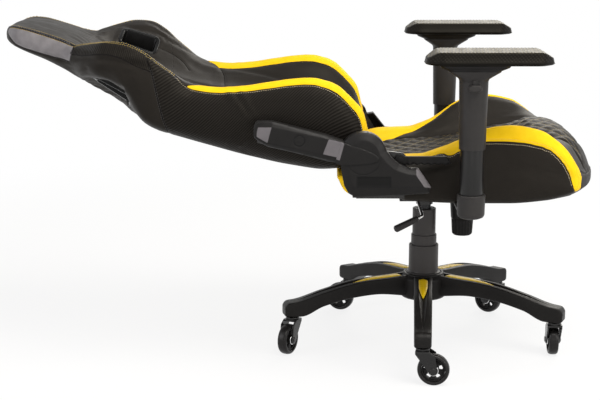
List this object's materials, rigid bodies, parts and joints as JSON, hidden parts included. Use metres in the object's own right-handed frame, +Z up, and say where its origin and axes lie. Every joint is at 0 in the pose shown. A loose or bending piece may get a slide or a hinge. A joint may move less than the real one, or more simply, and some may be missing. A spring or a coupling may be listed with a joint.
{
  "type": "gaming chair",
  "caption": "Racing-style swivel chair laid back to its recline stop, with a bucket seat and back, adjustable armrests and a five-legged castor base.",
  "frame": {"origin": "on the floor, under the middle of the whole chair as it lies", "axes": "+X to the front of the seat, +Y to the sitter's left, +Z up"},
  "size_m": [1.2184, 0.712, 0.6997],
  "materials": {
    "base_nylon": "fine-grained glass-filled nylon",
    "insert_yellow": "satin moulded plastic",
    "castor_metal": "satin black paint",
    "castor_hub": "satin moulded plastic with bright rings",
    "castor_tyre": "semi-gloss polyurethane",
    "column_steel": "gloss black paint",
    "column_plastic": "satin moulded plastic",
    "mechanism_steel": "satin black paint",
    "bright_steel": "bright zinc",
    "knob_plastic": "satin moulded plastic",
    "cover_plastic": "fine spark-eroded grain",
    "seat_upholstery": "black and yellow coated fabric over foam",
    "back_upholstery": "black and yellow coated fabric over foam",
    "bezel_plastic": "satin moulded plastic",
    "arm_steel": "gloss black paint",
    "arm_plastic": "satin moulded plastic",
    "arm_pad": "soft polyurethane with a fine ridged texture"
  },
  "bodies": {
    "base": {"star_base": "base_nylon", "leg_insert_1": "insert_yellow", "leg_insert_2": "insert_yellow", "leg_insert_3": "insert_yellow", "leg_insert_4": "insert_yellow", "leg_insert_5": "insert_yellow", "gas_cylinder": "column_steel", "column_cover_lower": "column_plastic"},
    "middle_cover": {"column_cover_middle": "column_plastic"},
    "column": {"gas_piston": "column_steel", "column_cover_upper": "column_plastic"},
    "mechanism": {"mechanism_housing": "mechanism_steel", "tilt_pin": "bright_steel", "spring_cup": "knob_plastic", "tension_spring": "bright_steel", "tension_bolt": "bright_steel"},
    "knob": {"tension_knob": "knob_plastic"},
    "height_lever": {"height_lever_rod": "bright_steel", "height_lever_grip": "knob_plastic"},
    "seat": {"tilt_plate": "mechanism_steel", "seat_frame": "mechanism_steel", "seat_cushion": "seat_upholstery", "side_cover_left": "cover_plastic", "side_cover_right": "cover_plastic", "recline_pin_left": "bright_steel", "recline_pin_right": "bright_steel", "arm_bracket_left": "arm_steel", "arm_bracket_right": "arm_steel"},
    "recline_handle": {"recline_lever": "knob_plastic"},
    "back": {"back_frame": "mechanism_steel", "back_cushion": "back_upholstery", "bracket_cover_left": "cover_plastic", "bracket_cover_right": "cover_plastic", "slot_bezel_left": "bezel_plastic", "slot_bezel_right": "bezel_plastic"},
    "castor_1": {"castor_fork_1": "castor_metal"},
    "wheel_1": {"castor_hub_1": "castor_hub", "castor_tyre_1": "castor_tyre"},
    "castor_2": {"castor_fork_2": "castor_metal"},
    "wheel_2": {"castor_hub_2": "castor_hub", "castor_tyre_2": "castor_tyre"},
    "castor_3": {"castor_fork_3": "castor_metal"},
    "wheel_3": {"castor_hub_3": "castor_hub", "castor_tyre_3": "castor_tyre"},
    "castor_4": {"castor_fork_4": "castor_metal"},
    "wheel_4": {"castor_hub_4": "castor_hub", "castor_tyre_4": "castor_tyre"},
    "castor_5": {"castor_fork_5": "castor_metal"},
    "wheel_5": {"castor_hub_5": "castor_hub", "castor_tyre_5": "castor_tyre"},
    "arm_sleeve_left": {"arm_sleeve_left": "arm_plastic"},
    "arm_button_left": {"arm_button_left": "arm_plastic"},
    "arm_slider_left": {"arm_slider_left": "arm_plastic"},
    "arm_swivel_left": {"arm_swivel_left": "arm_plastic"},
    "arm_pad_left": {"arm_pad_left": "arm_pad"},
    "arm_sleeve_right": {"arm_sleeve_right": "arm_plastic"},
    "arm_button_right": {"arm_button_right": "arm_plastic"},
    "arm_slider_right": {"arm_slider_right": "arm_plastic"},
    "arm_swivel_right": {"arm_swivel_right": "arm_plastic"},
    "arm_pad_right": {"arm_pad_right": "arm_pad"}
  },
  "joints": [
    {"name": "castor_swivel_1", "type": "hinge", "parent": "base", "child": "castor_1", "pos_m": [0.24591, -0.29022, 0.09], "axis": [0, 0, 1], "continuous": true},
    {"name": "castor_spin_1", "type": "hinge", "parent": "castor_1", "child": "wheel_1", "pos_m": [0.26765, -0.29358, 0.0325], "axis": [0.153, 0.9882, 0], "continuous": true},
    {"name": "castor_swivel_2", "type": "hinge", "parent": "base", "child": "castor_2", "pos_m": [0.53665, -0.10995, 0.09], "axis": [0, 0, 1], "continuous": true},
    {"name": "castor_spin_2", "type": "hinge", "parent": "castor_2", "child": "wheel_2", "pos_m": [0.5375, -0.08797, 0.0325], "axis": [-0.9993, 0.0384, 0], "continuous": true},
    {"name": "castor_swivel_3", "type": "hinge", "parent": "base", "child": "castor_3", "pos_m": [0.45505, 0.22226, 0.09], "axis": [0, 0, 1], "continuous": true},
    {"name": "castor_spin_3", "type": "hinge", "parent": "castor_3", "child": "wheel_3", "pos_m": [0.4381, 0.23629, 0.0325], "axis": [-0.6374, -0.7705, 0], "continuous": true},
    {"name": "castor_swivel_4", "type": "hinge", "parent": "base", "child": "castor_4", "pos_m": [0.11388, 0.24732, 0.09], "axis": [0, 0, 1], "continuous": true},
    {"name": "castor_spin_4", "type": "hinge", "parent": "castor_4", "child": "wheel_4", "pos_m": [0.09342, 0.25542, 0.0325], "axis": [-0.3681, -0.9298, 0], "continuous": true},
    {"name": "castor_swivel_5", "type": "hinge", "parent": "base", "child": "castor_5", "pos_m": [-0.01538, -0.06941, 0.09], "axis": [0, 0, 1], "continuous": true},
    {"name": "castor_spin_5", "type": "hinge", "parent": "castor_5", "child": "wheel_5", "pos_m": [-0.02516, -0.08912, 0.0325], "axis": [0.8957, -0.4446, 0], "continuous": true},
    {"name": "gas_lift", "type": "slide", "parent": "base", "child": "column", "axis": [0, 0, 1], "range_m": [0, 0.1]},
    {"name": "cover_slide", "type": "slide", "parent": "base", "child": "middle_cover", "axis": [0, 0, 1], "range_m": [0, 0.05]},
    {"name": "seat_swivel", "type": "hinge", "parent": "column", "child": "mechanism", "pos_m": [0.26722, 0, 0.32], "axis": [0, 0, 1], "continuous": true},
    {"name": "seat_tilt", "type": "hinge", "parent": "mechanism", "child": "seat", "pos_m": [0.22722, 0, 0.33819], "axis": [0, -1, 0], "range_deg": [0, 10], "stiffness_Nm_per_rad": 120, "springref_deg": -34.38},
    {"name": "tension_turn", "type": "hinge", "parent": "mechanism", "child": "knob", "pos_m": [0.34922, 0, 0.26], "axis": [0, 0, 1], "range_deg": [-360, 360]},
    {"name": "height_lever_lift", "type": "hinge", "parent": "mechanism", "child": "height_lever", "pos_m": [0.24492, -0.048, 0.33819], "axis": [-1, 0, 0], "range_deg": [0, 6], "stiffness_Nm_per_rad": 0.6, "springref_deg": -8.59},
    {"name": "recline", "type": "hinge", "parent": "seat", "child": "back", "pos_m": [0.12422, 0, 0.462], "axis": [0, 1, 0], "range_deg": [0, 75]},
    {"name": "recline_lever_lift", "type": "hinge", "parent": "seat", "child": "recline_handle", "pos_m": [0.19722, -0.256, 0.45], "axis": [0, -1, 0], "range_deg": [0, 25], "stiffness_Nm_per_rad": 0.3, "springref_deg": -8.59},
    {"name": "arm_height_left", "type": "slide", "parent": "seat", "child": "arm_sleeve_left", "axis": [0, 0, 1], "range_m": [-0.08, 0.015]},
    {"name": "arm_button_lift_left", "type": "slide", "parent": "arm_sleeve_left", "child": "arm_button_left", "axis": [0, 0, 1], "range_m": [0, 0.005], "stiffness_N_per_m": 300, "springref_m": -0.003},
    {"name": "arm_side_shift_left", "type": "slide", "parent": "arm_sleeve_left", "child": "arm_slider_left", "axis": [0, 1, 0], "range_m": [-0.012, 0.012]},
    {"name": "arm_pad_turn_left", "type": "hinge", "parent": "arm_slider_left", "child": "arm_swivel_left", "pos_m": [0.33322, 0.306, 0.642], "axis": [0, 0, 1], "range_deg": [-30, 30]},
    {"name": "arm_pad_shift_left", "type": "slide", "parent": "arm_swivel_left", "child": "arm_pad_left", "axis": [1, 0, 0], "range_m": [-0.025, 0.025]},
    {"name": "arm_height_right", "type": "slide", "parent": "seat", "child": "arm_sleeve_right", "axis": [0, 0, 1], "range_m": [-0.08, 0.015]},
    {"name": "arm_button_lift_right", "type": "slide", "parent": "arm_sleeve_right", "child": "arm_button_right", "axis": [0, 0, 1], "range_m": [0, 0.005], "stiffness_N_per_m": 300, "springref_m": -0.003},
    {"name": "arm_side_shift_right", "type": "slide", "parent": "arm_sleeve_right", "child": "arm_slider_right", "axis": [0, 1, 0], "range_m": [-0.012, 0.012]},
    {"name": "arm_pad_turn_right", "type": "hinge", "parent": "arm_slider_right", "child": "arm_swivel_right", "pos_m": [0.33322, -0.306, 0.642], "axis": [0, 0, 1], "range_deg": [-30, 30]},
    {"name": "arm_pad_shift_right", "type": "slide", "parent": "arm_swivel_right", "child": "arm_pad_right", "axis": [1, 0, 0], "range_m": [-0.025, 0.025]}
  ],
  "couplings": [
    {"joint": "cover_slide", "follows": "gas_lift", "ratio": 0.5}
  ]
}
